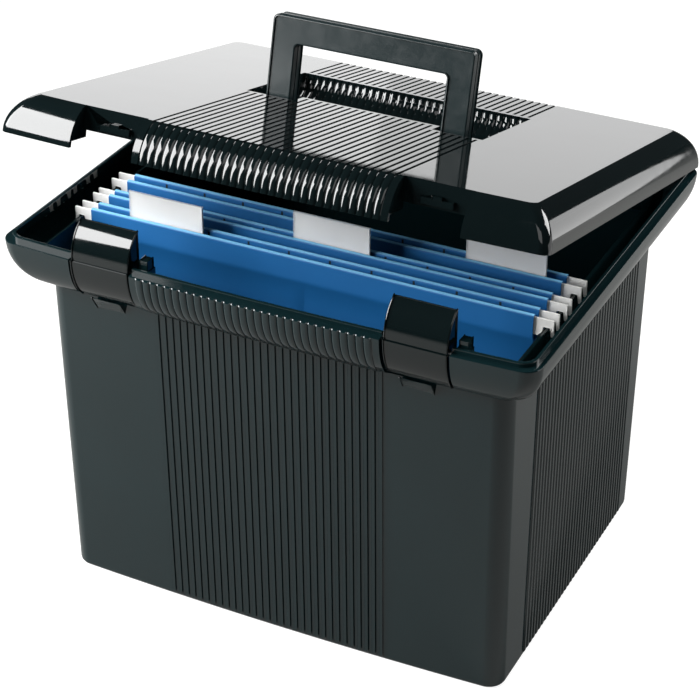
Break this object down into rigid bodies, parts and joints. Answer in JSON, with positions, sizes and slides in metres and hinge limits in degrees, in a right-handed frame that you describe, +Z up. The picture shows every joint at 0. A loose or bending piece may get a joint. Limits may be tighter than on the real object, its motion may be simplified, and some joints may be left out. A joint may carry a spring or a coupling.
{
  "type": "hanging file tote",
  "caption": "Ribbed plastic file tote with a flared rim, a hinged lid with a folding bail handle, front latches and hanging folders on rails.",
  "frame": {"origin": "middle of the object's outline on the surface that it stands on", "axes": "+Z up, -Y towards the latches at the front, +X to the right seen from the front"},
  "size_m": [0.353, 0.3003, 0.3608],
  "materials": {
    "black_plastic": "glossy injection-moulded polystyrene, near black with a green cast",
    "steel_pin": "drawn steel wire pin",
    "blue_card": "uncoated blue folder card",
    "coated_bar": "white plastic-coated steel strip",
    "clear_plastic": "thin clear plastic sheet",
    "white_card": "plain white card, no text"
  },
  "bodies": {
    "tub": {"tub": "black_plastic", "latch_pin_left": "steel_pin", "latch_pin_right": "steel_pin", "hinge_pin_left": "steel_pin", "hinge_pin_right": "steel_pin"},
    "lid": {"lid": "black_plastic", "handle_pin_left": "steel_pin", "handle_pin_right": "steel_pin"},
    "handle": {"handle": "black_plastic"},
    "latch_left": {"latch_left": "black_plastic"},
    "latch_right": {"latch_right": "black_plastic"},
    "folder_front": {"jacket_front": "blue_card", "hanger_front_1": "coated_bar", "hanger_front_2": "coated_bar", "tab_front": "clear_plastic", "label_front": "white_card"},
    "folder_middle": {"jacket_middle": "blue_card", "hanger_middle_1": "coated_bar", "hanger_middle_2": "coated_bar", "tab_middle": "clear_plastic", "label_middle": "white_card"},
    "folder_rear": {"jacket_rear": "blue_card", "hanger_rear_1": "coated_bar", "hanger_rear_2": "coated_bar", "tab_rear": "clear_plastic", "label_rear": "white_card"}
  },
  "joints": [
    {"name": "lid_hinge", "type": "hinge", "parent": "tub", "child": "lid", "pos_m": [0, 0.14635, 0.252], "axis": [-1, 0, 0], "range_deg": [-13.8, 81]},
    {"name": "handle_fold", "type": "hinge", "parent": "lid", "child": "handle", "pos_m": [0, 0.0061, 0.30272], "axis": [-1, 0, 0], "range_deg": [0, 88]},
    {"name": "latch_left_pivot", "type": "hinge", "parent": "tub", "child": "latch_left", "pos_m": [-0.1035, -0.13893, 0.247], "axis": [1, 0, 0], "range_deg": [-4, 110]},
    {"name": "latch_right_pivot", "type": "hinge", "parent": "tub", "child": "latch_right", "pos_m": [0.1035, -0.13893, 0.247], "axis": [1, 0, 0], "range_deg": [-4, 110]},
    {"name": "folder_front_slide", "type": "slide", "parent": "tub", "child": "folder_front", "axis": [0, 1, 0], "range_m": [-0.028, 0.004]},
    {"name": "folder_middle_slide", "type": "slide", "parent": "tub", "child": "folder_middle", "axis": [0, 1, 0], "range_m": [-0.004, 0.0055]},
    {"name": "folder_rear_slide", "type": "slide", "parent": "tub", "child": "folder_rear", "axis": [0, 1, 0], "range_m": [-0.0055, 0.12]}
  ]
}
